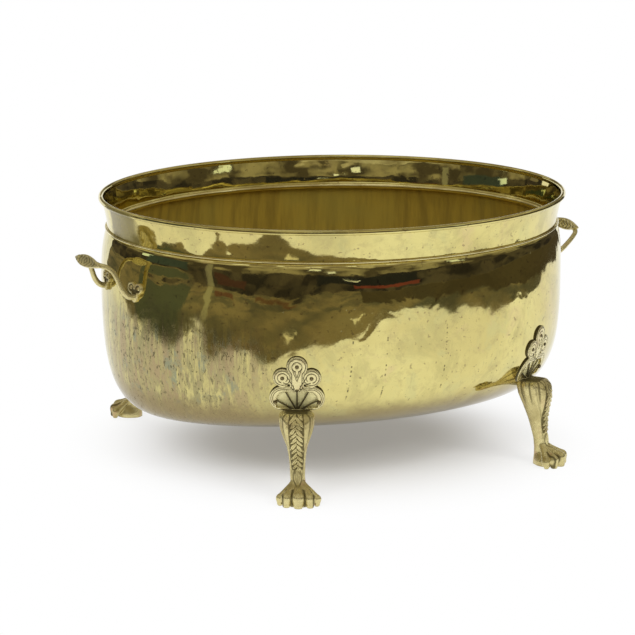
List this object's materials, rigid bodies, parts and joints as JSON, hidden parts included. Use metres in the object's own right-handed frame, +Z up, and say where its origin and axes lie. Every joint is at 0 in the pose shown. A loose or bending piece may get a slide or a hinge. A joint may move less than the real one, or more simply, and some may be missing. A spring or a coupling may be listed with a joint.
{
  "type": "planter pot",
  "caption": "Oval brass planter pot with a flared, wired rim, cast palmette legs on paw feet, and cast leaf handles riveted to the ends",
  "frame": {"origin": "on the floor, under the middle of the pot", "axes": "+X runs along the rim's length toward the right handle, +Y from the front flank to the back flank, +Z up"},
  "size_m": [0.5368, 0.402, 0.248],
  "materials": {
    "sheet_brass": "polished and hammered, with uneven patina",
    "drawn_brass": "polished",
    "cast_brass": "cast, chased and worn, dark in the hollows",
    "rivet_brass": "hammered",
    "iron_wire": "drawn"
  },
  "bodies": {
    "root": {"bowl": "sheet_brass", "neck_band": "sheet_brass", "rim_wire": "iron_wire", "neck_bead": "drawn_brass", "throat_ring": "drawn_brass", "leg_front_left": "cast_brass", "leg_front_right": "cast_brass", "leg_back_left": "cast_brass", "leg_back_right": "cast_brass", "leg_rivets_front_left": "rivet_brass", "leg_rivets_front_right": "rivet_brass", "leg_rivets_back_left": "rivet_brass", "leg_rivets_back_right": "rivet_brass", "handle_left": "cast_brass", "handle_right": "cast_brass", "handle_rivets_left": "rivet_brass", "handle_rivets_right": "rivet_brass"}
  },
  "joints": []
}
